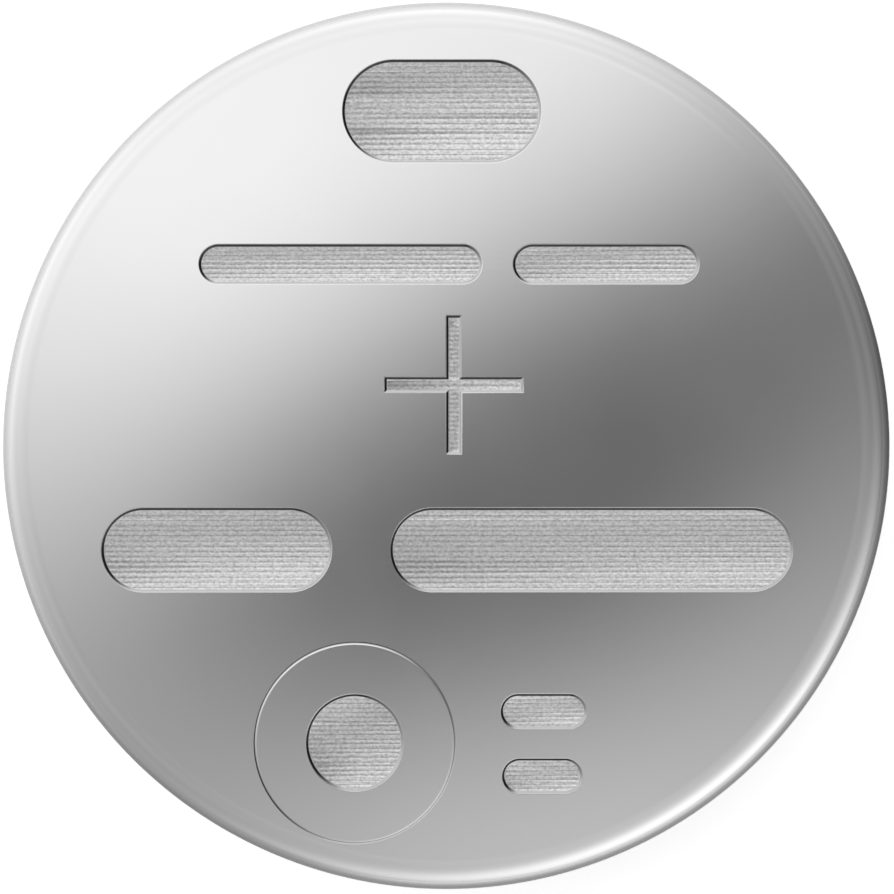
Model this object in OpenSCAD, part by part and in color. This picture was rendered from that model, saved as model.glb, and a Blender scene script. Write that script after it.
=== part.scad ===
// Lithium coin cell, 20 mm across and 3.2 mm high, lying on its negative cap.
// Millimetres, +Z up. The origin is the middle of the negative contact face.
// The cell is crimped from a steel can, a plastic gasket and a steel cap, and
// the can, the gasket and the cap hold a stack of lithium, separator, cathode
// and collector between them. Every piece is turned about Z, apart from the
// marks stamped in the can and the openings of the collector.

/* [Cell] */
// Diameter over the can
cell_d = 20.0; // [16:0.1:24.5]
// Height from the negative contact face to the positive one
cell_h = 3.2; // [2.5:0.1:5]
// Height by which the negative contact face stands proud of the crimp
contact_rise = 0.12; // [0.1:0.01:0.2]

/* [Can] */
// Thickness of the can's steel sheet
can_t = 0.25; // [0.2:0.01:0.3]
// Inside radius of the bend round the positive face
can_bend_r = 0.35; // [0.1:0.05:0.6]
// Inside radius of the curl that closes the can
crimp_bend_r = 0.6; // [0.4:0.05:0.8]
// Width of the ring that the crimped can covers on the negative side
crimp_reach = 1.15; // [0.9:0.05:1.4]

/* [Cap] */
// Thickness of the cap's steel sheet
cap_t = 0.25; // [0.2:0.01:0.3]
// Inside radius of the cap's bends
cap_bend_r = 0.1; // [0.05:0.01:0.15]

/* [Gasket] */
// Wall between the can and the cap's skirt
gasket_wall = 0.45; // [0.3:0.05:0.6]
// Thickness squeezed between the crimp and the cap's shoulder
gasket_squeeze = 0.18; // [0.12:0.01:0.25]
// Width of the ring of gasket that shows between the can and the cap
gasket_show = 0.3; // [0.2:0.05:0.4]
// Depth of the gasket that shows below the crimp's lowest point
gasket_sink = 0.08; // [0.04:0.01:0.12]
// Thickness of the foot under the end of the cap's skirt
gasket_foot = 0.5; // [0.3:0.05:0.6]
// Thickness of the lip inside the cap's skirt
gasket_lip_t = 0.35; // [0.2:0.05:0.5]
// Height of the lip inside the cap's skirt
gasket_lip_h = 0.6; // [0.3:0.05:0.8]

/* [Electrodes] */
// Thickness of the lithium disc
lithium_t = 0.6; // [0.4:0.05:0.8]
// Gap round the lithium disc, inside the cap's boss
lithium_gap = 0.5; // [0.3:0.05:1]
// Thickness of the separator
separator_t = 0.15; // [0.08:0.01:0.25]
// Gap round the separator, inside the cap's skirt
separator_gap = 0.45; // [0.3:0.05:0.7]
// Gap round the cathode pellet, inside the gasket's lip
cathode_gap = 0.7; // [0.4:0.05:1.2]
// Chamfer of the cathode pellet's pressed edges
cathode_chamfer = 0.12; // [0.05:0.01:0.25]

/* [Collector] */
// Thickness of the collector's sheet
collector_t = 0.15; // [0.1:0.01:0.2]
// Inset of the collector's edge from the cathode's
collector_inset = 0.5; // [0.2:0.05:1]
// Long way of the mesh, from knuckle to knuckle
mesh_long = 2.4; // [2:0.1:3.5]
// Short way of the mesh, from knuckle to knuckle
mesh_short = 1.3; // [1.1:0.1:2]
// Width of the mesh's strands
strand_w = 0.2; // [0.15:0.01:0.3]
// Least width of the plain rim outside the openings
mesh_rim = 0.25; // [0.2:0.05:0.5]

/* [Marks] */
// Depth of the stamped recesses
mark_depth = 0.05; // [0.04:0.01:0.12]
// Width of the recesses' sloping walls, seen from above
mark_wall = 0.05; // [0.04:0.01:0.12]
// Length of the plus sign's arms, end to end
plus_l = 3.1; // [2:0.1:3.5]
// Width of the plus sign's arms
plus_w = 0.35; // [0.3:0.01:0.6]
// Height of the top panel
top_panel_w = 2.3; // [1:0.1:2.6]
// Height of the panels in the row above the plus sign
upper_panel_w = 0.89; // [0.5:0.01:1]
// Height of the panels in the row below the plus sign
lower_panel_w = 1.88; // [1:0.02:2.2]
// Height of the two small panels
small_panel_w = 0.79; // [0.4:0.01:0.9]
// Diameter of the fine ring
ring_d = 4.46; // [3.6:0.02:4.6]
// Width of the fine ring's groove
ring_w = 0.03; // [0.02:0.01:0.1]
// Diameter of the round recess inside the fine ring
dot_d = 2.18; // [1:0.02:3]

/* [Hidden] */
$fn = 96;

// Radii, from the outside in
can_ro = cell_d / 2;
can_ri = can_ro - can_t;
face_r = can_ri - can_bend_r;
mouth_r = can_ro - crimp_reach;
skirt_ro = can_ri - gasket_wall;
skirt_ri = skirt_ro - cap_t;
boss_ro = mouth_r - gasket_show;
boss_ri = boss_ro - cap_t;
gasket_lip_ri = skirt_ri - gasket_lip_t;
separator_r = skirt_ri - separator_gap;
cathode_r = gasket_lip_ri - cathode_gap;
collector_r = cathode_r - collector_inset;
lithium_r = boss_ri - lithium_gap;

// Heights, from the negative contact face up
can_inside_low = contact_rise + can_t;
can_inside_high = cell_h - can_t;
shoulder_z = can_inside_low + gasket_squeeze;
skirt_end_z = can_inside_high - gasket_foot;
gasket_lip_z = skirt_end_z - gasket_lip_h;
lithium_z = cap_t;
separator_z = lithium_z + lithium_t;
cathode_z = separator_z + separator_t;
collector_z = can_inside_high - collector_t;
cathode_h = collector_z - cathode_z;

// Corner cut off the lithium disc's punched edge
lithium_chamfer = 0.05;
// Height by which a cutting tool starts above the face it cuts
cut_over = 0.1;

// The marks are laid out in millimetres on a face of this radius, and the
// whole layout is scaled to the face that the can has
layout_r = 9.4;
layout_scale = face_r / layout_r;
plus_at = [0.17, 1.36];
ring_at = [-2.04, -6.62];
// Each panel: middle, length and height
panels = [
    [[-0.1, 7.46], 4.44, top_panel_w],
    [[-2.36, 4.05], 6.32, upper_panel_w],
    [[3.56, 4.05], 4.15, upper_panel_w],
    [[-5.12, -2.32], 5.14, lower_panel_w],
    [[3.24, -2.32], 8.98, lower_panel_w],
    [[2.17, -5.92], 1.92, small_panel_w],
    [[2.14, -7.36], 1.8, small_panel_w],
];

// Half section of a disc from z0 to z1 whose lower edge is rounded
module disc_section(r, z0, z1, bend_r) {
    translate([0, z0]) square([r - bend_r, z1 - z0]);
    translate([0, z0 + bend_r]) square([r, z1 - z0 - bend_r]);
    translate([r - bend_r, z0 + bend_r]) circle(r = bend_r);
}

// The same with the upper edge rounded too
module drum_section(r, z0, z1, low_r, high_r) {
    intersection() {
        disc_section(r, z0, z1, low_r);
        translate([0, z0 + z1]) mirror([0, 1]) disc_section(r, z0, z1, high_r);
    }
}

// What the can fills or holds, seen from outside
module can_outside() {
    drum_section(can_ro, contact_rise, cell_h, crimp_bend_r + can_t,
                 can_bend_r + can_t);
}

module can_inside() {
    drum_section(can_ri, can_inside_low, can_inside_high, crimp_bend_r,
                 can_bend_r);
}

// Fillet in the corner between a boss of radius r and a shoulder at height z
module shoulder_fillet(r, z, fillet_r) {
    difference() {
        translate([r - fillet_r, z - fillet_r])
            square([2 * fillet_r, 2 * fillet_r]);
        translate([r + fillet_r, z - fillet_r]) circle(r = fillet_r);
        translate([r + fillet_r, z - 2 * fillet_r])
            square([fillet_r, 4 * fillet_r]);
    }
}

// The stepped hat of the cap: boss, shoulder and skirt, filled in
module hat_section(boss_r, skirt_r, boss_z, step_z, top_z, outer_r, inner_r) {
    disc_section(boss_r, boss_z, step_z + outer_r, outer_r);
    disc_section(skirt_r, step_z, top_z, outer_r);
    shoulder_fillet(boss_r, step_z, inner_r);
}

module cap_outside() {
    hat_section(boss_ro, skirt_ro, 0, shoulder_z, skirt_end_z,
                cap_bend_r + cap_t, cap_bend_r);
}

module cap_inside() {
    hat_section(boss_ri, skirt_ri, cap_t, shoulder_z + cap_t,
                skirt_end_z + cut_over, cap_bend_r, cap_bend_r + cap_t);
}

// Section of a mark's cutter: half_w wide at the face, which is at height 0
module mark_section(half_w) {
    slope = mark_wall / mark_depth;
    polygon([[-half_w + mark_wall, -mark_depth], [half_w - mark_wall, -mark_depth],
             [half_w + cut_over * slope, cut_over],
             [-half_w - cut_over * slope, cut_over]]);
}

// Trough along X with sloping sides and upright ends
module trough(length, width) {
    rotate([90, 0, 90]) linear_extrude(height = length, center = true)
        mark_section(width / 2);
}

module round_recess(d) {
    slope = mark_wall / mark_depth;
    translate([0, 0, -mark_depth])
        cylinder(h = mark_depth + cut_over, r1 = d / 2 - mark_wall,
                 r2 = d / 2 + cut_over * slope);
}

// Round-ended recess with sloping walls
module panel_recess(length, width) {
    straight = length - width;
    trough(straight, width);
    for (side = [-1, 1]) translate([side * straight / 2, 0, 0]) round_recess(width);
}

// Square-ended recess with sloping walls
module bar_recess(length, width) {
    over_l = length + 2 * cut_over * mark_wall / mark_depth;
    intersection() {
        trough(over_l, width);
        rotate([0, 0, 90]) trough(over_l, length);
    }
}

module plus_recess() {
    bar_recess(plus_l, plus_w);
    rotate([0, 0, 90]) bar_recess(plus_l, plus_w);
}

module ring_groove() {
    groove_depth = ring_w / 2;
    top_half_w = ring_w / 2 + cut_over;
    rotate_extrude() translate([ring_d / 2, 0])
        polygon([[0, -groove_depth], [top_half_w, cut_over],
                 [-top_half_w, cut_over]]);
}

module marks() {
    for (panel = panels)
        translate([panel[0][0], panel[0][1], 0]) panel_recess(panel[1], panel[2]);
    translate([plus_at[0], plus_at[1], 0]) plus_recess();
    translate([ring_at[0], ring_at[1], 0]) {
        ring_groove();
        round_recess(dot_d);
    }
}

// Deep-drawn steel can: positive face, wall and crimped curl in one piece
module positive_can() {
    color([0.74, 0.74, 0.75]) difference() {
        rotate_extrude() difference() {
            can_outside();
            can_inside();
            square([mouth_r, can_inside_low + can_t]);
        }
        translate([0, 0, cell_h]) scale(layout_scale) marks();
    }
}

// Moulded ring with a J section that keeps the can and the cap apart
module sealing_gasket() {
    color([0.9, 0.91, 0.88, 0.9]) rotate_extrude() {
        difference() {
            union() {
                intersection() {
                    can_inside();
                    translate([gasket_lip_ri, 0]) square([can_ro - gasket_lip_ri, cell_h]);
                }
                translate([boss_ri, contact_rise + gasket_sink])
                    square([mouth_r - boss_ri, shoulder_z - contact_rise]);
            }
            cap_outside();
        }
        translate([gasket_lip_ri, gasket_lip_z])
            square([gasket_lip_t, can_inside_high - gasket_lip_z]);
    }
}

// Deep-drawn steel cap: negative contact face, boss, shoulder and skirt
module negative_cap() {
    color([0.78, 0.78, 0.78]) rotate_extrude() difference() {
        cap_outside();
        cap_inside();
    }
}

// One opening of the expanded mesh
module mesh_opening() {
    half_long = mesh_long / 2 - strand_w;
    half_short = mesh_short / 2 - strand_w / 2;
    polygon([[half_long, 0], [0, half_short], [-half_long, 0], [0, -half_short]]);
}

// Steel mesh disc, pressed between the can and the cathode
module current_collector() {
    rows = ceil(2 * collector_r / mesh_short);
    reach = collector_r - mesh_rim - mesh_long / 2 + strand_w;
    color([0.66, 0.66, 0.65]) translate([0, 0, collector_z])
        linear_extrude(height = collector_t) difference() {
            circle(r = collector_r);
            for (row = [-rows : rows], column = [-rows : rows]) {
                x = (column + (row % 2 == 0 ? 0 : 0.5)) * mesh_long;
                y = row * mesh_short / 2;
                if (norm([x, y]) <= reach) translate([x, y]) mesh_opening();
            }
        }
}

// Disc section with both edges chamfered
module tablet_section(r, height, chamfer) {
    polygon([[0, 0], [r - chamfer, 0], [r, chamfer], [r, height - chamfer],
             [r - chamfer, height], [0, height]]);
}

// Pressed tablet of manganese dioxide and carbon
module cathode_pellet() {
    color([0.12, 0.12, 0.13]) translate([0, 0, cathode_z])
        rotate_extrude() tablet_section(cathode_r, cathode_h, cathode_chamfer);
}

// Nonwoven disc, soaked with electrolyte
module separator() {
    color([0.93, 0.93, 0.9]) translate([0, 0, separator_z])
        cylinder(h = separator_t, r = separator_r);
}

// Disc punched from lithium strip and pressed onto the cap
module lithium_anode() {
    color([0.62, 0.63, 0.64]) translate([0, 0, lithium_z])
        rotate_extrude() tablet_section(lithium_r, lithium_t, lithium_chamfer);
}

positive_can();
sealing_gasket();
negative_cap();
current_collector();
cathode_pellet();
separator();
lithium_anode();
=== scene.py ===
# %% [markdown]
# # A lithium coin cell
#
# This lesson dresses a coin cell that was built in CAD: 20 mm across, 3.2 mm high,
# lying on its negative cap. The can, the gasket and the cap are modelled again here,
# because light runs over polished steel and shows every facet and every hard edge.
# The pieces sealed inside keep their CAD meshes and get a finish each.

import math

import bpy
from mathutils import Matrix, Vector


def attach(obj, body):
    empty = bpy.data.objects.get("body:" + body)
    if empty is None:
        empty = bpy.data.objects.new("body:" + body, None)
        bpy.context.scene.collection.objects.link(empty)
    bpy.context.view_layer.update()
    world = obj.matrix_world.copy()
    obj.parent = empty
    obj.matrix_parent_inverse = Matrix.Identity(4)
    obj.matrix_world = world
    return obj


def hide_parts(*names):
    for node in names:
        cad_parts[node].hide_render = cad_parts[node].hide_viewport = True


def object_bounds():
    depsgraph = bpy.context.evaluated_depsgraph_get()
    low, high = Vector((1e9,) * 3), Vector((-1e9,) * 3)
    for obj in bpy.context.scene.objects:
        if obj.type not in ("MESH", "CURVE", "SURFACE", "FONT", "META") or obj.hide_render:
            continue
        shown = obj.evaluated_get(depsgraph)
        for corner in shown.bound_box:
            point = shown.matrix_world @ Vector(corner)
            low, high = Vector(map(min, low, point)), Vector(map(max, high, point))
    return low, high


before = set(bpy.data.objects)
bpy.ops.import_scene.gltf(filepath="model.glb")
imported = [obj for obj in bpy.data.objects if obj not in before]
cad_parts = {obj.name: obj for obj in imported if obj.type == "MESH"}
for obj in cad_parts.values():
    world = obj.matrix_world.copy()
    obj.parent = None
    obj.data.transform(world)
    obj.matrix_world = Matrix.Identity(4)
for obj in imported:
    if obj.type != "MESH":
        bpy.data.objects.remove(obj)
cad_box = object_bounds()
print("CAD nodes:", sorted(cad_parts))
print("CAD box in metres:", cad_box)

# %% [markdown]
# ## Working in millimetres
#
# A coin cell is tiny in metres, and tools such as Fill and Merge have fixed limits
# that are coarse at that size. So each piece is modelled in millimetres and brought
# down to metres once it is finished. These helpers do what a hand does between
# tools: drop the selection, and pick points or faces by their place.

# %% Select by place
MM = 0.001


def deselect():
    if bpy.context.mode != "OBJECT":
        bpy.ops.object.mode_set(mode="OBJECT")
    bpy.ops.object.select_all(action="DESELECT")


def only(piece):
    deselect()
    piece.select_set(True)
    bpy.context.view_layer.objects.active = piece


def edit(piece):
    only(piece)
    bpy.ops.object.mode_set(mode="EDIT")


def pick_points(piece, wanted):
    """In edit mode, selects the points whose place passes wanted(point)."""
    bpy.ops.mesh.select_mode(type="VERT")
    bpy.ops.mesh.select_all(action="DESELECT")
    bpy.ops.object.mode_set(mode="OBJECT")
    for point in piece.data.vertices:
        point.select = wanted(point.co)
    bpy.ops.object.mode_set(mode="EDIT")


def pick_faces(piece, wanted):
    """In edit mode, selects the faces whose middle passes wanted(centre)."""
    bpy.ops.mesh.select_mode(type="FACE")
    bpy.ops.mesh.select_all(action="DESELECT")
    bpy.ops.object.mode_set(mode="OBJECT")
    for face in piece.data.polygons:
        face.select = wanted(face.center)
    bpy.ops.object.mode_set(mode="EDIT")


print("one unit of the drawings is", MM, "m")

# %% [markdown]
# Sections are drawn from straight lines and arcs, and each finished mesh is counted:
# its triangles, and the edges that don't lie between two faces. A closed piece has no
# such edge.

# %% Draw arcs and count meshes
def arc(centre_r, centre_z, radius, start, end, steps):
    """Points of an arc in the (r, z) half plane, with angles in degrees from +r."""
    points = []
    for step in range(steps + 1):
        angle = math.radians(start + (end - start) * step / steps)
        points.append((centre_r + radius * math.cos(angle),
                       centre_z + radius * math.sin(angle)))
    return points


def count(piece):
    faces = piece.data.polygons
    triangles = sum(len(face.vertices) - 2 for face in faces)
    sides = {}
    for face in faces:
        for key in face.edge_keys:
            sides[key] = sides.get(key, 0) + 1
    open_edges = sum(1 for number in sides.values() if number != 2)
    print(piece.name, "has", triangles, "triangles and", open_edges, "open edges")


print("a quarter arc in 3 steps:", arc(0, 0, 1, 0, 90, 3))

# %% [markdown]
# ## Turned and drawn shapes
#
# The can, the cap and the gasket are all round. The steel is deep-drawn and the
# gasket is moulded, and both give one section carried round the axis. So a section is
# drawn as a line of points, a single vertex extruded along, and Spin carries it
# round. A Screw modifier would give the same shape, but Spin leaves a mesh that can
# be edited further at once.

# %% Spin a section
AROUND = 256
MERGE_NEAR = 1e-4


def spin_section(name, points, around=AROUND, closed=False):
    """Draws the points in the XZ plane and spins them about Z."""
    deselect()
    bpy.ops.mesh.primitive_plane_add(size=1, location=(0, 0, 0))
    piece = bpy.context.active_object
    piece.name = name
    piece.data.name = name
    bpy.ops.object.mode_set(mode="EDIT")
    bpy.ops.mesh.merge(type="CENTER")
    here = Vector((points[0][0], 0, points[0][1]))
    bpy.ops.transform.translate(value=here)
    for r, z in points[1:]:
        there = Vector((r, 0, z))
        bpy.ops.mesh.extrude_vertices_move(
            TRANSFORM_OT_translate={"value": there - here})
        here = there
    bpy.ops.mesh.select_all(action="SELECT")
    if closed:
        bpy.ops.mesh.edge_face_add()
        bpy.ops.mesh.delete(type="ONLY_FACE")
        bpy.ops.mesh.select_all(action="SELECT")
    bpy.ops.mesh.spin(steps=around, angle=2 * math.pi, center=(0, 0, 0),
                      axis=(0, 0, 1), use_auto_merge=True)
    bpy.ops.mesh.select_all(action="SELECT")
    bpy.ops.mesh.remove_doubles(threshold=MERGE_NEAR)
    bpy.ops.object.mode_set(mode="OBJECT")
    return piece


print("a round piece has", AROUND, "steps, so its flats are off a true circle by",
      round(10 * (1 - math.cos(math.pi / AROUND)), 5), "mm")

# %% [markdown]
# ## The can, without its face
#
# The can is one sheet of steel, 0.25 mm thick. It bends from the positive face into
# the side with an outside radius of about 0.6 mm and, at the other end, curls in over
# the gasket. Drawn sheet doesn't pass from flat to round at once, and on polished
# steel such a jump shows as a line in the reflections, so a wider arc of 8 degrees
# comes before the bend. The section leaves out the flat positive face, because that
# face carries the stamped marks and is made apart. A short flat step before each bend
# keeps the smooth shading of the bend from spilling on to the flat. The height and
# the radius of the whole cell come from the CAD box.

# %% Spin the can
CELL_H = round(cad_box[1][2] / MM, 3)
CAN_R = round(cad_box[1][0] / MM, 3)
CAN_T = 0.25
FACE_BEND = 0.6
CURL_BEND = 0.85
CURL_LOW = 0.12
MOUTH_R = 8.85
MOUTH_ROUND = 0.06
MOUTH_INNER_ROUND = 0.03
FACE_R = 9.25
EASE_R = 1.6
EASE_TURN = 8
SIDE_LOW = CURL_LOW + CURL_BEND
FLAT_STEP = 0.03

ease_sin = math.sin(math.radians(EASE_TURN))
edge_r = (CAN_R - FACE_R - EASE_R * ease_sin) / (1 - ease_sin)
edge_z = CELL_H - EASE_R + (EASE_R - edge_r) * math.cos(math.radians(EASE_TURN))
can_section = [(FACE_R - FLAT_STEP, CELL_H)]
can_section += arc(FACE_R, CELL_H - EASE_R, EASE_R, 90, 90 - EASE_TURN, 6)
can_section += arc(CAN_R - edge_r, edge_z, edge_r, 90 - EASE_TURN, 0, 20)[1:]
can_section += [(CAN_R, edge_z - FLAT_STEP), (CAN_R, SIDE_LOW + FLAT_STEP)]
can_section += arc(CAN_R - CURL_BEND, SIDE_LOW, CURL_BEND, 0, -90, 18)
can_section += arc(MOUTH_R + MOUTH_ROUND, CURL_LOW + MOUTH_ROUND, MOUTH_ROUND, -90, -180, 5)
can_section += arc(MOUTH_R + MOUTH_INNER_ROUND, CURL_LOW + CAN_T - MOUTH_INNER_ROUND,
                   MOUTH_INNER_ROUND, 180, 90, 3)
can_section += arc(CAN_R - CURL_BEND, SIDE_LOW, CURL_BEND - CAN_T, -90, 0, 8)
can_section += arc(CAN_R - FACE_BEND, CELL_H - FACE_BEND, FACE_BEND - CAN_T, 0, 90, 8)
can = spin_section("stamped_can", can_section)
print("the can's section has", len(can_section), "points")

# %% [markdown]
# ## Outlines of the marks
#
# The marks are struck into the face with a punch: shallow recesses with sloping
# walls and slightly rounded lips. There are round-ended panels, a plus sign that
# names the positive side, and a round recess inside a fine ring. Each outline is one
# face: a circle pulled apart along X makes a panel, and a square with four edges
# extruded makes the plus sign. The outline is used twice, once as a hole in the flat
# face and once as the mouth of its recess, so the two meet point for point.

# %% Shapes of the outlines
LIP_R = 0.012
WALL_SLOPE = 39
LIP_REACH = LIP_R * math.tan(math.radians(WALL_SLOPE / 2))
MOUTH_EXTRA = LIP_REACH + 0.012
ROUND_POINTS = 96
POINT_NEAR = 1e-4


def shift(piece, offset):
    only(piece)
    bpy.ops.transform.translate(value=offset)
    bpy.ops.object.transform_apply(location=True, rotation=True, scale=True)
    return piece


def panel_shape(at, length, width):
    deselect()
    bpy.ops.mesh.primitive_circle_add(
        vertices=ROUND_POINTS, radius=width / 2 + MOUTH_EXTRA, fill_type="NGON",
        rotation=(0, 0, math.pi / ROUND_POINTS), location=(0, 0, 0))
    shape = bpy.context.active_object
    bpy.ops.object.transform_apply(location=True, rotation=True, scale=True)
    bpy.ops.object.mode_set(mode="EDIT")
    for side in (-1, 1):
        pick_points(shape, lambda point: point.x * side > 0)
        bpy.ops.transform.translate(value=(side * (length - width) / 2, 0, 0))
    return shift(shape, (*at, CELL_H))


def plus_shape(at, length, width):
    half = width / 2 + MOUTH_EXTRA
    arm = (length - width) / 2
    deselect()
    bpy.ops.mesh.primitive_plane_add(size=2 * half, location=(0, 0, 0))
    shape = bpy.context.active_object
    bpy.ops.object.mode_set(mode="EDIT")
    for along in (Vector((1, 0, 0)), Vector((-1, 0, 0)), Vector((0, 1, 0)),
                  Vector((0, -1, 0))):
        pick_points(shape, lambda point: point.dot(along) > half - POINT_NEAR
                    and max(abs(point.x), abs(point.y)) < half + POINT_NEAR)
        bpy.ops.mesh.extrude_edges_move(
            TRANSFORM_OT_translate={"value": along * arm})
    bpy.ops.mesh.select_all(action="SELECT")
    bpy.ops.mesh.dissolve_limited(angle_limit=math.radians(1))
    return shift(shape, (*at, CELL_H))


print("the mouth of a mark is wider than its wall line by", round(MOUTH_EXTRA, 4), "mm")

# %% [markdown]
# Each mark has its middle, its length and its height, and the pitch of the ribs on
# its floor. The panels stand where the marks of such a cell stand. The wide ones have
# a slightly coarser pitch.

# %% Draw the outlines
PLUS_AT = (0.17, 1.36)
RING_AT = (-2.04, -6.62)
RING_R = 2.23
RING_W = 0.03
TOP_W = 2.3
UPPER_W = 0.89
LOWER_W = 1.88
SMALL_W = 0.79
ROUND_D = 2.18
FINE_PITCH = 0.1
COARSE_PITCH = 0.115

shapes = {
    "top_panel": (panel_shape((-0.1, 7.46), 4.44, TOP_W), COARSE_PITCH),
    "upper_long_panel": (panel_shape((-2.36, 4.05), 6.32, UPPER_W), FINE_PITCH),
    "upper_short_panel": (panel_shape((3.56, 4.05), 4.15, UPPER_W), FINE_PITCH),
    "lower_short_panel": (panel_shape((-5.12, -2.32), 5.14, LOWER_W), COARSE_PITCH),
    "lower_long_panel": (panel_shape((3.24, -2.32), 8.98, LOWER_W), COARSE_PITCH),
    "small_panel_a": (panel_shape((2.17, -5.92), 1.92, SMALL_W), FINE_PITCH),
    "small_panel_b": (panel_shape((2.14, -7.36), 1.8, SMALL_W), FINE_PITCH),
    "round_recess": (panel_shape(RING_AT, ROUND_D, ROUND_D), FINE_PITCH),
    "plus_sign": (plus_shape(PLUS_AT, 3.1, 0.35), FINE_PITCH),
}
for name, (shape, pitch) in shapes.items():
    print(name, "outline has", len(shape.data.vertices), "points")

# %% [markdown]
# ## The flat face
#
# The flat face is one sheet with holes. The outlines and the outer circle lose their
# faces and keep their edges, all of them are joined, and Fill spans what lies
# between. The ring is a groove, so the sheet has a gap there: it is filled once
# outside the ring and once inside it.

# %% Fill the face round the marks
RING_POINTS = 192
GROOVE_HALF = RING_W + 0.02


def bare_loop(shape):
    """A copy of an outline with its edges only."""
    only(shape)
    bpy.ops.object.duplicate()
    loop = bpy.context.active_object
    bpy.ops.object.mode_set(mode="EDIT")
    bpy.ops.mesh.select_all(action="SELECT")
    bpy.ops.mesh.delete(type="ONLY_FACE")
    bpy.ops.object.mode_set(mode="OBJECT")
    return loop


def circle_loop(at, radius, points):
    deselect()
    bpy.ops.mesh.primitive_circle_add(vertices=points, radius=radius, location=(*at, CELL_H))
    bpy.ops.object.transform_apply(location=True, rotation=True, scale=True)
    return bpy.context.active_object


def join(pieces):
    """Joins the pieces into the first of them."""
    deselect()
    for piece in pieces:
        piece.select_set(True)
    bpy.context.view_layer.objects.active = pieces[0]
    bpy.ops.object.join()
    return bpy.context.active_object


def fill_between(name, loops):
    sheet = join(loops)
    sheet.name = name
    bpy.ops.object.mode_set(mode="EDIT")
    bpy.ops.mesh.select_all(action="SELECT")
    bpy.ops.mesh.fill(use_beauty=True)
    bpy.ops.object.mode_set(mode="OBJECT")
    print(name, "is filled with", len(sheet.data.polygons), "faces")
    return sheet


outside_loops = [circle_loop((0, 0), FACE_R - FLAT_STEP, AROUND),
                 circle_loop(RING_AT, RING_R + GROOVE_HALF, RING_POINTS)]
inside_loops = [circle_loop(RING_AT, RING_R - GROOVE_HALF, RING_POINTS)]
for name, (shape, pitch) in shapes.items():
    if name == "round_recess":
        inside_loops.append(bare_loop(shape))
    else:
        outside_loops.append(bare_loop(shape))
face_sheet = fill_between("face_sheet", outside_loops)
ring_sheet = fill_between("ring_sheet", inside_loops)

# %% [markdown]
# ## Striking the recesses
#
# A recess is its outline inset again and again, a little further in and a little
# deeper each time: a flat step, the rounded lip, the sloping wall, the rounded foot
# of the wall, and a margin on the floor. The floor of a real struck mark keeps the
# fine machining lines of the punch. They are too broad to leave to a bump map on the
# larger marks, so the floor is cut by level planes and every other cut is pressed
# down into a shallow groove.

# %% Inset the walls and rib the floors
MARK_WALL = 0.056
MARK_DEPTH = MARK_WALL * math.tan(math.radians(WALL_SLOPE))
FOOT_R = 0.01
FOOT_REACH = FOOT_R * math.tan(math.radians(WALL_SLOPE / 2))
MARGIN_W = 0.01
MARGIN_DROP = 0.002
RIB_DEPTH = 0.014
LIP_STEPS = 3

wall_line = [(-MOUTH_EXTRA, 0.0)]
for step in range(LIP_STEPS + 1):
    turn = math.radians(WALL_SLOPE * step / LIP_STEPS)
    wall_line.append((-LIP_REACH + LIP_R * math.sin(turn),
                      -LIP_R * (1 - math.cos(turn))))
for step in range(LIP_STEPS, -1, -1):
    turn = math.radians(WALL_SLOPE * step / LIP_STEPS)
    wall_line.append((MARK_WALL + FOOT_REACH - FOOT_R * math.sin(turn),
                      -MARK_DEPTH + FOOT_R * (1 - math.cos(turn))))
wall_line.append((MARK_WALL + FOOT_REACH + MARGIN_W, -MARK_DEPTH - MARGIN_DROP))
FLOOR_Z = CELL_H + wall_line[-1][1]


def on_floor(place):
    return abs(place.z - FLOOR_Z) < 5e-4


def strike(name, shape, pitch):
    shape.name = name
    edit(shape)
    bpy.ops.mesh.select_mode(type="FACE")
    bpy.ops.mesh.select_all(action="SELECT")
    for before, after in zip(wall_line, wall_line[1:]):
        bpy.ops.mesh.inset(thickness=after[0] - before[0],
                           depth=after[1] - before[1], use_even_offset=True)
    low = min(corner[1] for corner in shape.bound_box)
    high = max(corner[1] for corner in shape.bound_box)
    rows = range(math.ceil(low / (pitch / 2)), math.floor(high / (pitch / 2)) + 1)
    for row in rows:
        pick_faces(shape, on_floor)
        bpy.ops.mesh.bisect(plane_co=(0, row * pitch / 2, 0), plane_no=(0, 1, 0))
    pressed = [row * pitch / 2 for row in rows if row % 2]
    pick_points(shape, lambda point: on_floor(point)
                and any(abs(point.y - y) < POINT_NEAR for y in pressed))
    bpy.ops.transform.translate(value=(0, 0, -RIB_DEPTH))
    bpy.ops.object.mode_set(mode="OBJECT")
    print(name, "is cut by", len(rows), "planes")
    return shape


recesses = [strike(name, shape, pitch) for name, (shape, pitch) in shapes.items()]

# %% [markdown]
# ## The fine ring and the whole can
#
# The ring is too narrow for a floor. It is a V with softened lips, spun about the
# ring's own centre. Then everything is joined and merged, the inner side of the face
# is closed, and the normals are turned outwards.

# %% Close the can
GROOVE_DEPTH = 0.016


def face_outwards(piece):
    edit(piece)
    bpy.ops.mesh.select_all(action="SELECT")
    bpy.ops.mesh.normals_make_consistent(inside=False)
    bpy.ops.object.mode_set(mode="OBJECT")


groove_line = [(-GROOVE_HALF, 0), (-0.7 * RING_W, 0), (-0.6 * RING_W, -0.002),
               (0, -GROOVE_DEPTH), (0.003, -GROOVE_DEPTH),
               (0.8 * RING_W, -0.003), (0.9 * RING_W, 0), (GROOVE_HALF, 0)]
groove = spin_section("ring_groove", [
    (RING_R + across, CELL_H + down) for across, down in groove_line
], around=RING_POINTS)
shift(groove, (*RING_AT, 0))

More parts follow.
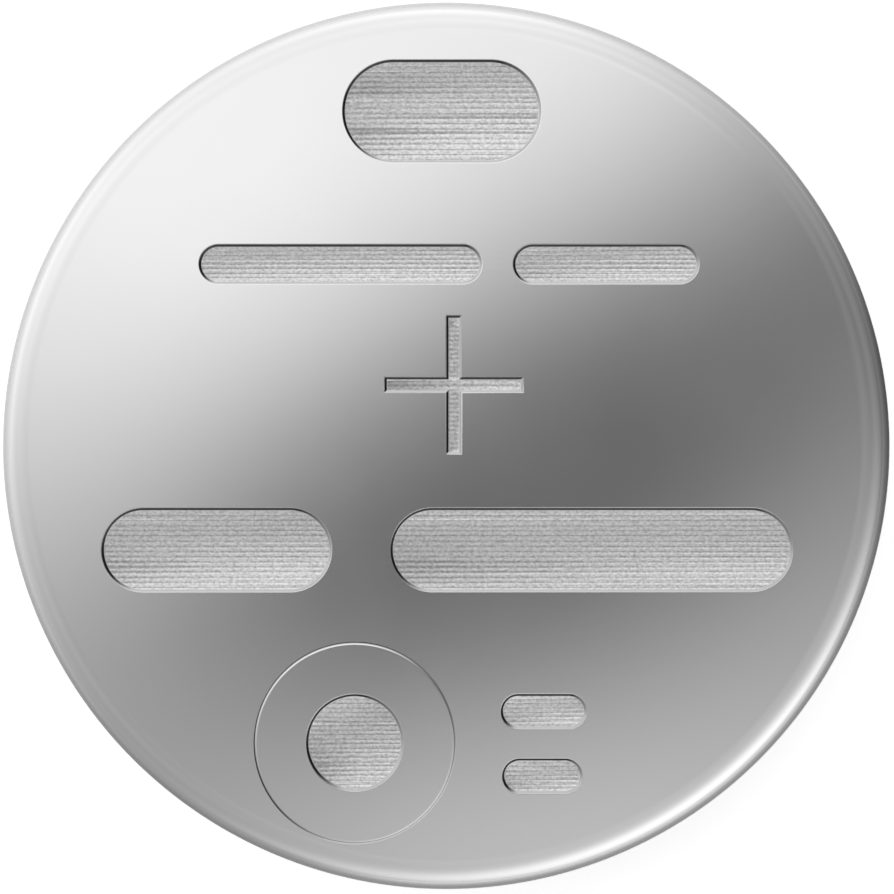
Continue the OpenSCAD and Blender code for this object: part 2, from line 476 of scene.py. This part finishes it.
can = join([can, face_sheet, ring_sheet, groove] + recesses)
edit(can)
bpy.ops.mesh.select_all(action="SELECT")
bpy.ops.mesh.remove_doubles(threshold=2 * MERGE_NEAR)
under_face = CELL_H - CAN_T
pick_points(can, lambda point: abs(point.z - under_face) < 1e-3
            and abs(math.hypot(point.x, point.y) - CAN_R + FACE_BEND) < 1e-3)
bpy.ops.mesh.edge_face_add()
face_outwards(can)
count(can)

# %% [markdown]
# ## From millimetres to metres
#
# Each finished piece is smoothed by angle, so that bends are smooth and cut edges
# stay crisp, then scaled to metres with its place kept in its mesh. It rides on the
# one body of the cell and takes the place of the CAD solid that it dresses.

# %% Finish the can
SMOOTH_UP_TO = 40


def to_metres(piece):
    only(piece)
    bpy.ops.transform.resize(value=(MM, MM, MM), center_override=(0, 0, 0))
    bpy.ops.object.transform_apply(location=True, rotation=True, scale=True)


def finish_piece(piece, node):
    only(piece)
    bpy.ops.object.shade_smooth_by_angle(angle=math.radians(SMOOTH_UP_TO))
    to_metres(piece)
    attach(piece, "root")
    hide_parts(node)
    count(piece)


finish_piece(can, "positive_can")

# %% [markdown]
# ## The negative cap
#
# The cap is a hat: a flat contact face that the cell lies on, a boss, a shoulder
# that the crimp holds down, and a skirt that stands inside the gasket. Only the
# contact face and the foot of the boss show, from below. The section runs round the
# outside of the sheet and back along its inside, and both ends lie on the axis.

# %% Spin the cap
CAP_T = 0.25
CAP_BEND = 0.1
BOSS_R = 8.55
SKIRT_R = 9.3
SHOULDER_Z = 0.55
SKIRT_END = 2.45
OUTER_BEND = CAP_BEND + CAP_T

cap_section = [(0, 0), (BOSS_R - OUTER_BEND - FLAT_STEP, 0)]
cap_section += arc(BOSS_R - OUTER_BEND, OUTER_BEND, OUTER_BEND, -90, 0, 14)
cap_section += arc(BOSS_R + CAP_BEND, SHOULDER_Z - CAP_BEND, CAP_BEND, 180, 90, 5)
cap_section += arc(SKIRT_R - OUTER_BEND, SHOULDER_Z + OUTER_BEND, OUTER_BEND, -90, 0, 8)
cap_section += [(SKIRT_R, SKIRT_END), (SKIRT_R - CAP_T, SKIRT_END)]
cap_section += arc(SKIRT_R - OUTER_BEND, SHOULDER_Z + OUTER_BEND, CAP_BEND, 0, -90, 4)
cap_section += arc(BOSS_R + CAP_BEND, SHOULDER_Z - CAP_BEND, OUTER_BEND, 90, 180, 8)
cap_section += arc(BOSS_R - OUTER_BEND, OUTER_BEND, CAP_BEND, 0, -90, 4)
cap_section += [(0, CAP_T)]
cap = spin_section("drawn_cap", cap_section)
face_outwards(cap)
finish_piece(cap, "negative_cap")

# %% [markdown]
# ## The gasket
#
# The gasket is a moulded ring with a J section. The crimp presses it on to the
# shoulder of the cap, and a narrow ring of it bulges out between the two steels. Its
# lip there is rounded, because plastic that is squeezed out has no sharp edge.

# %% Spin the gasket
BULGE_LOW = 0.2
BULGE_R = 0.06
LIP_INNER_R = 8.7
LIP_Z = 1.85

gasket_section = arc(BOSS_R + BULGE_R, BULGE_LOW + BULGE_R, BULGE_R, 180, 270, 5)
gasket_section += arc(MOUTH_R - BULGE_R, BULGE_LOW + BULGE_R, BULGE_R, 270, 360, 5)
gasket_section += [(MOUTH_R, CURL_LOW + CAN_T)]
gasket_section += arc(CAN_R - CURL_BEND, SIDE_LOW, CURL_BEND - CAN_T, -90, 0, 8)
gasket_section += arc(CAN_R - FACE_BEND, CELL_H - FACE_BEND, FACE_BEND - CAN_T, 0, 90, 6)
gasket_section += [(LIP_INNER_R, CELL_H - CAN_T), (LIP_INNER_R, LIP_Z),
                   (SKIRT_R - CAP_T, LIP_Z), (SKIRT_R - CAP_T, SKIRT_END),
                   (SKIRT_R, SKIRT_END)]
gasket_section += arc(SKIRT_R - OUTER_BEND, SHOULDER_Z + OUTER_BEND, OUTER_BEND, 0, -90, 8)
gasket_section += arc(BOSS_R + CAP_BEND, SHOULDER_Z - CAP_BEND, CAP_BEND, 90, 180, 5)
gasket = spin_section("moulded_gasket", gasket_section, closed=True)
face_outwards(gasket)
finish_piece(gasket, "sealing_gasket")

# %% [markdown]
# ## Node groups that several finishes share
#
# Two effects come back in most of the finishes. Handling leaves a few hair scratches
# and a soft cloudiness on bare metal, and rolled sheet keeps a very fine grain along
# one direction. Powder, cast plastic, soft metal and felted fibre all show a mottle
# of one scale or another. Each effect is one group, built once, with named inputs,
# and each material places it with its own values. Object coordinates come in metres,
# so the groups multiply them by 1000 first and their scales then read per millimetre.

# %% Node helpers
def new_group(name, inputs, outputs):
    group = bpy.data.node_groups.new(name, "ShaderNodeTree")
    for label, default in inputs:
        socket = group.interface.new_socket(label, in_out="INPUT",
                                            socket_type="NodeSocketFloat")
        socket.default_value = default
    for label in outputs:
        group.interface.new_socket(label, in_out="OUTPUT",
                                   socket_type="NodeSocketFloat")
    nodes = group.nodes
    return group, nodes.new("NodeGroupInput"), nodes.new("NodeGroupOutput")


def in_millimetres(tree, stretch=(1, 1, 1)):
    """Object coordinates times 1000, stretched along chosen axes."""
    coordinate = tree.nodes.new("ShaderNodeTexCoord")
    mapping = tree.nodes.new("ShaderNodeMapping")
    mapping.inputs["Scale"].default_value = [s / MM for s in stretch]
    tree.links.new(coordinate.outputs["Object"], mapping.inputs["Vector"])
    return mapping.outputs["Vector"]


def noise(tree, vector, scale, detail=2.0, roughness=0.5):
    node = tree.nodes.new("ShaderNodeTexNoise")
    node.inputs["Detail"].default_value = detail
    node.inputs["Roughness"].default_value = roughness
    tree.links.new(vector, node.inputs["Vector"])
    if isinstance(scale, (int, float)):
        node.inputs["Scale"].default_value = scale
    else:
        tree.links.new(scale, node.inputs["Scale"])
    return node.outputs["Fac"]


def math_node(tree, operation, a, b=None, c=None):
    node = tree.nodes.new("ShaderNodeMath")
    node.operation = operation
    for socket, value in zip(node.inputs, (a, b, c)):
        if value is None:
            continue
        if isinstance(value, (int, float)):
            socket.default_value = value
        else:
            tree.links.new(value, socket)
    return node.outputs[0]


def remap(tree, value, low, high, to_low, to_high):
    node = tree.nodes.new("ShaderNodeMapRange")
    node.interpolation_type = "SMOOTHSTEP"
    for label, number in (("From Min", low), ("From Max", high),
                          ("To Min", to_low), ("To Max", to_high)):
        node.inputs[label].default_value = number
    tree.links.new(value, node.inputs["Value"])
    return node.outputs["Result"]


print("the helpers write noise, sums and ramps in one line each")

# %% [markdown]
# Handled metal: a soft cloud and two sets of hair scratches change the roughness, and
# the grain of the rolled sheet, with the scratches cut into it, is the height.

# %% The group for handled metal
HAIR_SETS = ((0.5, (0.05, 2.6, 1)), (-0.9, (0.04, 3.2, 1)))

handling, h_in, h_out = new_group(
    "handled_metal", [("Cloud", 0.03), ("Scratch", 0.08), ("Grain", 1.0)],
    ["Roughness Change", "Height"])
cloud = noise(handling, in_millimetres(handling), 0.35, 3.0)
cloud = math_node(handling, "SUBTRACT", cloud, 0.5)
cloud = math_node(handling, "MULTIPLY", cloud, h_in.outputs["Cloud"])
lines = None
for turn, stretch in HAIR_SETS:
    coordinate = in_millimetres(handling, stretch)
    coordinate.node.inputs["Rotation"].default_value = (0, 0, turn)
    hair = remap(handling, noise(handling, coordinate, 1.0, 1.0), 0.765, 0.775, 0, 1)
    lines = hair if lines is None else math_node(handling, "MAXIMUM", lines, hair)
scratch = math_node(handling, "MULTIPLY", lines, h_in.outputs["Scratch"])
dent = math_node(handling, "MULTIPLY", scratch, 8.0)
grain = noise(handling, in_millimetres(handling, (0.6, 14, 6)), 1.0, 3.0, 0.6)
grain = math_node(handling, "MULTIPLY", grain, h_in.outputs["Grain"])
handling.links.new(math_node(handling, "ADD", cloud, scratch),
                   h_out.inputs["Roughness Change"])
handling.links.new(math_node(handling, "SUBTRACT", grain, dent),
                   h_out.inputs["Height"])
print("group:", handling.name)

# %% [markdown]
# The mottle: soft patches give the value for the colour, and fine cells are added to
# them for the height.

# %% The group for the mottle
mottle, m_in, m_out = new_group("mottle", [("Scale", 4.0), ("Speckle", 0.5)],
                                ["Value", "Height"])
place_mm = in_millimetres(mottle)
soft = noise(mottle, place_mm, m_in.outputs["Scale"], 4.0, 0.55)
speck = mottle.nodes.new("ShaderNodeTexVoronoi")
mottle.links.new(place_mm, speck.inputs["Vector"])
mottle.links.new(math_node(mottle, "MULTIPLY", m_in.outputs["Scale"], 3.0),
                 speck.inputs["Scale"])
speck = math_node(mottle, "MULTIPLY", speck.outputs["Distance"], m_in.outputs["Speckle"])
mottle.links.new(remap(mottle, soft, 0.3, 0.7, 0, 1), m_out.inputs["Value"])
mottle.links.new(math_node(mottle, "ADD", soft, speck), m_out.inputs["Height"])
print("group:", mottle.name)

# %% [markdown]
# ## Helpers for the materials
#
# A material is a Principled shader with its plain values set on its own sockets, and
# with the group's outputs mixed into colour, roughness and bump.

# %% Material helpers
def grey(level):
    return (level, level, level)


def darker(colour, level):
    return tuple(level * part for part in colour)


def new_material(name, colour, roughness, metallic=0.0):
    material = bpy.data.materials.new(name)
    material.use_nodes = True
    shader = material.node_tree.nodes["Principled BSDF"]
    shader.inputs["Base Color"].default_value = (*colour, 1)
    shader.inputs["Roughness"].default_value = roughness
    shader.inputs["Metallic"].default_value = metallic
    return material, material.node_tree, shader


def use_group(tree, group, **values):
    node = tree.nodes.new("ShaderNodeGroup")
    node.node_tree = group
    for label, value in values.items():
        node.inputs[label].default_value = value
    return node.outputs


def blend_colours(tree, factor, first, second):
    node = tree.nodes.new("ShaderNodeMix")
    node.data_type = "RGBA"
    tree.links.new(factor, node.inputs["Factor"])
    for label, value in (("A", first), ("B", second)):
        socket = [s for s in node.inputs if s.name == label and s.type == "RGBA"][0]
        if isinstance(value, tuple):
            socket.default_value = (*value, 1)
        else:
            tree.links.new(value, socket)
    return [s for s in node.outputs if s.type == "RGBA"][0]


def bump(tree, shader, height, distance_mm):
    node = tree.nodes.new("ShaderNodeBump")
    node.inputs["Distance"].default_value = distance_mm * MM
    tree.links.new(height, node.inputs["Height"])
    tree.links.new(node.outputs["Normal"], shader.inputs["Normal"])


def dress(piece, *materials):
    piece.data.materials.clear()
    for material in materials:
        piece.data.materials.append(material)
    print(piece.name, "wears", [material.name for material in materials])


print("a millimetre of bump is", MM, "in the shader's distance")

# %% [markdown]
# ## Steel
#
# The can is stainless steel with a smooth satin finish: no brushed lines, only a soft
# reflection of the room. Below the bend the wall was ironed between punch and die,
# which leaves it a little darker and duller, with faint streaks along the draw. The
# mask for that is the height above the table.
#
# The light is set for the view from above. Seen low across the table, the flat face
# would mirror the brightest part of the tent and vanish against the white, so its
# colour darkens as it turns away from the eye.

# %% Satin steel of the can
CAN_FACE = grey(0.8)
CAN_SIDE = grey(0.6)
FACE_ROUGHNESS = 0.18
SIDE_ROUGHNESS = 0.3
LOW_VIEW_LEVEL = 0.5
STREAK_LEVEL = 0.93
STREAK_HEIGHT = 2.5
SATIN_BUMP = 0.0003


def height_mm(tree):
    split = tree.nodes.new("ShaderNodeSeparateXYZ")
    tree.links.new(in_millimetres(tree), split.inputs["Vector"])
    return split.outputs["Z"]


def low_view(tree):
    """0 where the steel faces the eye, rising to 1 as it turns away."""
    facing = tree.nodes.new("ShaderNodeLayerWeight").outputs["Facing"]
    return remap(tree, facing, 0.12, 0.9, 0, 1)


can_steel, tree, shader = new_material("satin_can_steel", CAN_FACE, FACE_ROUGHNESS, 1.0)
marks = use_group(tree, handling, Cloud=0.02, Scratch=0.0, Grain=0.25)
drawn = remap(tree, height_mm(tree), CELL_H - 0.3, CELL_H - 0.1, 1, 0)
flat = remap(tree, height_mm(tree), CELL_H - 0.07, CELL_H - 0.01, 0, 1)
face_colour = blend_colours(tree, math_node(tree, "MULTIPLY", low_view(tree), flat),
                            CAN_FACE, darker(CAN_FACE, LOW_VIEW_LEVEL))
streaks = noise(tree, in_millimetres(tree, (13, 13, 0.3)), 1.0, 3.0)
side_colour = blend_colours(tree, remap(tree, streaks, 0.35, 0.65, 0, 1),
                            CAN_SIDE, darker(CAN_SIDE, STREAK_LEVEL))
tree.links.new(blend_colours(tree, drawn, face_colour, side_colour),
               shader.inputs["Base Color"])
rough = math_node(tree, "MULTIPLY_ADD", drawn, SIDE_ROUGHNESS - FACE_ROUGHNESS,
                  FACE_ROUGHNESS)
tree.links.new(math_node(tree, "ADD", rough, marks["Roughness Change"]),
               shader.inputs["Roughness"])
lines = math_node(tree, "MULTIPLY", streaks,
                  math_node(tree, "MULTIPLY", drawn, STREAK_HEIGHT))
bump(tree, shader, math_node(tree, "ADD", marks["Height"], lines), SATIN_BUMP)
print("the can's steel:", can_steel.name)

# %% [markdown]
# The cap has the same kind of steel from flat sheet, a touch duller. Its face slides
# along the contacts of a holder, so it has a few hair scratches.

# %% Satin steel of the cap
CAP_FACE = (0.78, 0.78, 0.785)
CAP_ROUGHNESS = 0.24

cap_steel, tree, shader = new_material("satin_cap_steel", CAP_FACE, CAP_ROUGHNESS, 1.0)
marks = use_group(tree, handling, Cloud=0.02, Scratch=0.04, Grain=0.25)
# Painted shade: as on the can, the colour darkens as the face turns away from the eye.
tree.links.new(blend_colours(tree, low_view(tree), CAP_FACE, darker(CAP_FACE, LOW_VIEW_LEVEL)),
               shader.inputs["Base Color"])
tree.links.new(math_node(tree, "ADD", marks["Roughness Change"], CAP_ROUGHNESS),
               shader.inputs["Roughness"])
bump(tree, shader, marks["Height"], SATIN_BUMP)
print("the cap's steel:", cap_steel.name)

# %% [markdown]
# ## Struck steel
#
# The marks are duller than the face. The walls that face the lower right get painted
# shade: their colour is darkened towards near black, as if they lay in shadow, and the
# others keep the plain steel colour; a face attribute blends the two. On the floors the
# grooves between the punch's machining lines get painted shade and are darker than the
# ridges, and the lines are broken into specks, because the steel didn't fill every line.

# %% Steel of the walls and floors
WALL_COLOUR = grey(0.46)
# Painted shade: the walls that face the lower right are darkened towards this colour.
PAINTED_SHADE_COLOUR = grey(0.05)
WALL_ROUGHNESS = 0.16
FLOOR_ROUGHNESS = 0.4
SPECK_BUMP = 0.006

wall_steel, tree, shader = new_material("struck_wall_steel", WALL_COLOUR, WALL_ROUGHNESS, 1.0)
painted_wall_shade = tree.nodes.new("ShaderNodeAttribute")
painted_wall_shade.attribute_name = "painted_wall_shade"
marks = use_group(tree, handling, Cloud=0.05, Scratch=0.0)
tree.links.new(blend_colours(tree, painted_wall_shade.outputs["Fac"], WALL_COLOUR, PAINTED_SHADE_COLOUR),
               shader.inputs["Base Color"])
tree.links.new(math_node(tree, "ADD", marks["Roughness Change"], WALL_ROUGHNESS),
               shader.inputs["Roughness"])

floor_steel, tree, shader = new_material("struck_floor_steel", grey(0.66), FLOOR_ROUGHNESS, 1.0)
marks = use_group(tree, handling, Cloud=0.1, Scratch=0.0)
# Painted shade in the floor's grooves: the colour is darker at their bottom and lighter on the
# ridges.
groove_shade = remap(tree, height_mm(tree), FLOOR_Z - RIB_DEPTH, FLOOR_Z, 0.2, 0.75)
broken = noise(tree, in_millimetres(tree, (13, 18, 1)), 1.0, 3.0, 0.6)
uneven = math_node(tree, "SUBTRACT", broken, 0.5)
light_part = math_node(tree, "MULTIPLY_ADD", uneven, 2.3, groove_shade)
tree.links.new(blend_colours(tree, light_part, grey(0.42), grey(0.85)),
               shader.inputs["Base Color"])
tree.links.new(math_node(tree, "ADD", marks["Roughness Change"], FLOOR_ROUGHNESS),
               shader.inputs["Roughness"])
bump(tree, shader, broken, SPECK_BUMP)
print("struck steels:", wall_steel.name, floor_steel.name)

# %% [markdown]
# The can's faces are shared out by height: face and side, floors, and the walls
# between them. Each wall face also gets its own amount of painted shade from the way
# it faces. The inner wall of the fine ring gets only a little of the painted shade.

# %% Share the steels out
# Painted shade on the struck walls: which way the shaded walls face, and how sharply it fades.
SHADED_WALLS_FACE = Vector((0.85, -0.53))
WALL_SHADE_CONTRAST = 1.6
FINE_RING_SHADE_SHARE = 0.3
MARKS_LOW = (CELL_H - 0.2) * MM
FLOOR_LIMIT = (CELL_H - MARK_DEPTH + 0.001) * MM
WALL_LIMIT = (CELL_H - 0.003) * MM

dress(can, can_steel, floor_steel, wall_steel)
dress(cap, cap_steel)


def painted_shade_share(face):
    """Painted shade: 1 on walls facing the lower right, 0 on walls facing the upper left."""
    facing = face.normal.xy.normalized().dot(SHADED_WALLS_FACE)
    from_ring = (face.center.xy / MM - Vector(RING_AT)).length
    fine = RING_R - GROOVE_HALF < from_ring < RING_R
    share = min(max(0.5 + WALL_SHADE_CONTRAST * facing, 0), 1)
    return share * (FINE_RING_SHADE_SHARE if fine else 1)


tally = [0, 0, 0]
wall_shade_values = can.data.attributes.new("painted_wall_shade", "FLOAT", "FACE")
for face in can.data.polygons:
    height = face.center.z
    if face.center.xy.length < FACE_R * MM and face.normal.z > 0.2:
        if MARKS_LOW < height < FLOOR_LIMIT:
            face.material_index = 1
        elif FLOOR_LIMIT < height < WALL_LIMIT:
            face.material_index = 2
            wall_shade_values.data[face.index].value = painted_shade_share(face)
    tally[face.material_index] += 1
print("faces of can, struck floor and struck wall:", tally)

# %% [markdown]
# ## Plastic
#
# The gasket is natural polypropylene: milky, a little translucent, with a soft
# sheen and faint flow marks.

# %% Gasket plastic
gasket_plastic, tree, shader = new_material("natural_polypropylene", (0.8, 0.81, 0.78), 0.42)
shader.inputs["Subsurface Weight"].default_value = 0.35
shader.inputs["Subsurface Radius"].default_value = (1.0, 1.0, 0.9)
shader.inputs["Subsurface Scale"].default_value = 0.3 * MM
flow = use_group(tree, mottle, Scale=1.6, Speckle=0.1)
tree.links.new(blend_colours(tree, flow["Value"], (0.76, 0.77, 0.74), (0.83, 0.84, 0.81)),
               shader.inputs["Base Color"])
bump(tree, shader, flow["Height"], 0.004)
dress(gasket, gasket_plastic)

# %% [markdown]
# ## The stack inside
#
# The pieces sealed inside keep their CAD meshes and get the finishes they have in a
# fresh cell. The lithium is a soft dull metal with a film that grows in patches, and
# the collector is plain rolled steel.

# %% Lithium and mesh
lithium, tree, shader = new_material("lithium_strip", (0.55, 0.56, 0.57), 0.5, 1.0)
film = use_group(tree, mottle, Scale=0.9, Speckle=0.2)
tree.links.new(blend_colours(tree, film["Value"], (0.4, 0.41, 0.42), (0.6, 0.61, 0.62)),
               shader.inputs["Base Color"])
tree.links.new(math_node(tree, "MULTIPLY_ADD", film["Value"], -0.15, 0.6),
               shader.inputs["Roughness"])
bump(tree, shader, film["Height"], 0.01)

MESH_ROUGHNESS = 0.35
mesh_steel, tree, shader = new_material("mesh_steel", (0.6, 0.6, 0.59), MESH_ROUGHNESS, 1.0)
rolled = use_group(tree, handling, Cloud=0.2, Scratch=0.1, Grain=1.0)
tree.links.new(math_node(tree, "ADD", rolled["Roughness Change"], MESH_ROUGHNESS),
               shader.inputs["Roughness"])
bump(tree, shader, rolled["Height"], 0.002)
print("metals:", lithium.name, mesh_steel.name)

# %% [markdown]
# The separator is an off-white felt of fine fibres, and the cathode is a matt black
# powder pressed into a tablet.

# %% Felt and powder
felt, tree, shader = new_material("separator_felt", (0.85, 0.85, 0.82), 0.8)
fibres = use_group(tree, mottle, Scale=7.0, Speckle=0.8)
tree.links.new(blend_colours(tree, fibres["Value"], (0.78, 0.78, 0.75), (0.88, 0.88, 0.86)),
               shader.inputs["Base Color"])
bump(tree, shader, fibres["Height"], 0.03)

powder, tree, shader = new_material("pressed_cathode_powder", (0.03, 0.03, 0.033), 0.75)
grains = use_group(tree, mottle, Scale=5.0, Speckle=1.0)
tree.links.new(blend_colours(tree, grains["Value"], (0.018, 0.018, 0.02), (0.05, 0.05, 0.053)),
               shader.inputs["Base Color"])
bump(tree, shader, grains["Height"], 0.02)

for node, material in (("lithium_anode", lithium), ("separator", felt),
                       ("cathode_pellet", powder), ("current_collector", mesh_steel)):
    dress(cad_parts[node], material)

# %% [markdown]
# ## Table, light and camera
#
# Polished metal looks like what it reflects, so the light is most of the look. The
# cell lies on a plain pale table in a soft white tent: a broad glow on the left and
# another behind, one at the lower right that catches the rim, and a dark gap overhead
# where the camera looks through. Each glow is a soft panel in the world, brightest in
# one direction and falling off with the angle from it. A negative level is a soft
# black flag, which takes light away.
#
# The panels weren't placed by hand. A separate program found their numbers and the
# tent's level by least squares, from the shading in a photograph of such a cell, and
# they are its printed result. To light something else, place a few panels by eye.

# %% Soft panels
TENT_LEVEL = 0.06
TENT_LEAST = 0.02

world = bpy.data.worlds.new("soft_tent")
bpy.context.scene.world = world
world.use_nodes = True
sky = world.node_tree
background = sky.nodes["Background"]
look = sky.nodes.new("ShaderNodeTexCoord").outputs["Generated"]


def fade_from(tree, look, azimuth, zenith, narrowness):
    """1 in one direction, given in degrees, and less with the angle from it."""
    a, z = math.radians(azimuth), math.radians(zenith)
    dot = tree.nodes.new("ShaderNodeVectorMath")
    dot.operation = "DOT_PRODUCT"
    dot.inputs[1].default_value = (math.sin(z) * math.cos(a), math.sin(z) * math.sin(a),
                                   math.cos(z))
    tree.links.new(look, dot.inputs[0])
    away = math_node(tree, "SUBTRACT", dot.outputs["Value"], 1.0)
    return math_node(tree, "EXPONENT", math_node(tree, "MULTIPLY", away, narrowness))


# Level, narrowness, azimuth and zenith of each panel, as the other program gave them
panels = [
    (1.06, 3.46, 160, 84), (1.09, 3.93, 86, 76.5), (1.43, 3.88, -77, 54.4),
    (0.67, 15.7, 70, 27.4), (1.54, 51.3, -163, 5.6), (-0.4, 20, 33, 25.3),
    (-1.6, 217, -16, 2.6), (0.59, 11.7, 147, 32.2), (-1.09, 65, -152, 10.4),
    (0.56, 14.7, -34, 69.4), (-0.55, 7.58, -101, 45), (0.83, 201, 59, 12.8),
    (-1.16, 244, 218, 4.7), (-0.8, 157, 41, 11.6),
]
light = TENT_LEVEL
for level, narrowness, azimuth, zenith in panels:
    fade = fade_from(sky, look, azimuth, zenith, narrowness)
    light = math_node(sky, "MULTIPLY_ADD", fade, level, light)
light = math_node(sky, "MAXIMUM", light, TENT_LEAST)
print("the tent has", len(panels), "soft panels")

# %% [markdown]
# The tent ends in a dark hem just above the table on the right and in front. The
# steepest part of the rim reflects it as a thin grey line. The camera itself sees a
# plain white backdrop where it looks past the table.

# %% Dark hem and backdrop
HEM_UP = 0.03
HEM_HALF = 0.07
HEM_DARK = 0.9

direction = sky.nodes.new("ShaderNodeSeparateXYZ")
sky.links.new(look, direction.inputs["Vector"])
above = math_node(sky, "SUBTRACT", direction.outputs["Z"], HEM_UP)
above = math_node(sky, "POWER", math_node(sky, "DIVIDE", above, HEM_HALF), 2.0)
strip = math_node(sky, "EXPONENT", math_node(sky, "MULTIPLY", above, -1.0))
side = math_node(sky, "SUBTRACT", direction.outputs["X"], direction.outputs["Y"])
strip = math_node(sky, "MULTIPLY", strip, remap(sky, side, 0.1, 0.9, 0, HEM_DARK))
light = math_node(sky, "MULTIPLY", light, math_node(sky, "SUBTRACT", 1.0, strip))
path = sky.nodes.new("ShaderNodeLightPath")
seen = sky.nodes.new("ShaderNodeMix")
seen.data_type = "FLOAT"
sky.links.new(path.outputs["Is Camera Ray"], seen.inputs["Factor"])
sky.links.new(light, seen.inputs["A"])
seen.inputs["B"].default_value = 1.0
sky.links.new(seen.outputs["Result"], background.inputs["Color"])
print("backdrop level:", seen.inputs["B"].default_value)

# %% [markdown]
# The table is matt and pale. It glows a little for the camera and for reflections, so
# it looks white, and the cell's own soft shadow stays on it. It lies a hair under the
# cap, because two faces at one height would flicker into each other.

# %% Lay the table
TABLE_W = 0.8
TABLE_DROP = 0.01
TABLE_GLOW = 0.5

deselect()
bpy.ops.mesh.primitive_plane_add(size=TABLE_W, location=(0, 0, -TABLE_DROP * MM))
table = bpy.context.active_object
table.name = "table"
table_paint, tree, shader = new_material("pale_table", grey(0.9), 0.8)
shader.inputs["Specular IOR Level"].default_value = 0.2
paths = tree.nodes.new("ShaderNodeLightPath")
lit = math_node(tree, "MAXIMUM", paths.outputs["Is Camera Ray"],
                paths.outputs["Is Glossy Ray"])
lit = math_node(tree, "MAXIMUM", lit, paths.outputs["Is Transmission Ray"])
shader.inputs["Emission Color"].default_value = (1, 1, 1, 1)
tree.links.new(math_node(tree, "MULTIPLY", lit, TABLE_GLOW),
               shader.inputs["Emission Strength"])
dress(table, table_paint)

# %% [markdown]
# ## A band that draws the edge
#
# Bright steel on a bright table has no outline. In a studio a low strip of card
# stands round such a thing, pale on one side and grey on the other, and the bend of
# the edge picks it up as a thin line that is bright here and dark there. The band is
# a ring as high as the cell, and only reflections see it: it lights nothing, casts no
# shadow, and the camera looks through it.

# %% Stand the band
BAND_R = 11.5
BAND_LOW = 0.02

band = spin_section("edge_band", [(BAND_R, BAND_LOW), (BAND_R, CELL_H)])
to_metres(band)
band.visible_camera = False
band.visible_diffuse = False
band.visible_transmission = False
band.visible_shadow = False
count(band)

# %% [markdown]
# The band glows by itself. Its level changes round the ring: pale, with three darker
# places, whose numbers come mostly from a separate program too. On the right and in
# front its top is brighter, so the grey line of the edge fades softly into the
# highlight beside it.

# %% Light the band
BAND_LEVEL = 1.2
BAND_LEAST = 0.06
BAND_MOST = 1.15
TOP_LIFT = 3.0

band_card, tree, shader = new_material("band_card", grey(0.0), 1.0)
shader.inputs["Specular IOR Level"].default_value = 0.0
shader.inputs["Emission Color"].default_value = (1, 1, 1, 1)
around = tree.nodes.new("ShaderNodeVectorMath")
around.operation = "NORMALIZE"
tree.links.new(in_millimetres(tree), around.inputs[0])
level = BAND_LEVEL
for depth, narrowness, azimuth in ((0.85, 3.7, 14), (0.48, 5.4, 222), (0.74, 1.2, 289)):
    fade = fade_from(tree, around.outputs["Vector"], azimuth, 90, narrowness)
    level = math_node(tree, "MULTIPLY_ADD", fade, -depth, level)
level = math_node(tree, "MAXIMUM", level, BAND_LEAST)
up = math_node(tree, "POWER", math_node(tree, "DIVIDE", height_mm(tree), CELL_H), 8.0)
split = tree.nodes.new("ShaderNodeSeparateXYZ")
tree.links.new(around.outputs["Vector"], split.inputs["Vector"])
side = math_node(tree, "SUBTRACT", split.outputs["X"], split.outputs["Y"])
up = math_node(tree, "MULTIPLY", up, remap(tree, side, 0.5, 1.0, 0, TOP_LIFT))
lift = math_node(tree, "MULTIPLY_ADD", up, level, 1.0)
level = math_node(tree, "MINIMUM", math_node(tree, "MULTIPLY", level, lift), BAND_MOST)
tree.links.new(level, shader.inputs["Emission Strength"])
dress(band, band_card)

# %% [markdown]
# ## The camera
#
# The camera looks straight down on the positive face from 45 mm, and the cell fills
# the picture to its edges. It stands a hair off the axis, so that the cell sits in
# the picture as it should.

# %% Place the camera
CAMERA_UP = 45.0
CAMERA_AT = (0.016, -0.027)
VIEW_W = 19.92
SENSOR_W = 36.0

camera_data = bpy.data.cameras.new("camera")
camera = bpy.data.objects.new("camera", camera_data)
bpy.context.scene.collection.objects.link(camera)
camera.location = Vector((*CAMERA_AT, CELL_H + CAMERA_UP)) * MM
camera_data.sensor_width = SENSOR_W
camera_data.lens = SENSOR_W * CAMERA_UP / VIEW_W
camera_data.clip_start = 0.001
camera_data.clip_end = 5.0
bpy.context.scene.camera = camera
bpy.context.scene.view_settings.view_transform = "Standard"
print("lens:", round(camera_data.lens, 1), "mm")
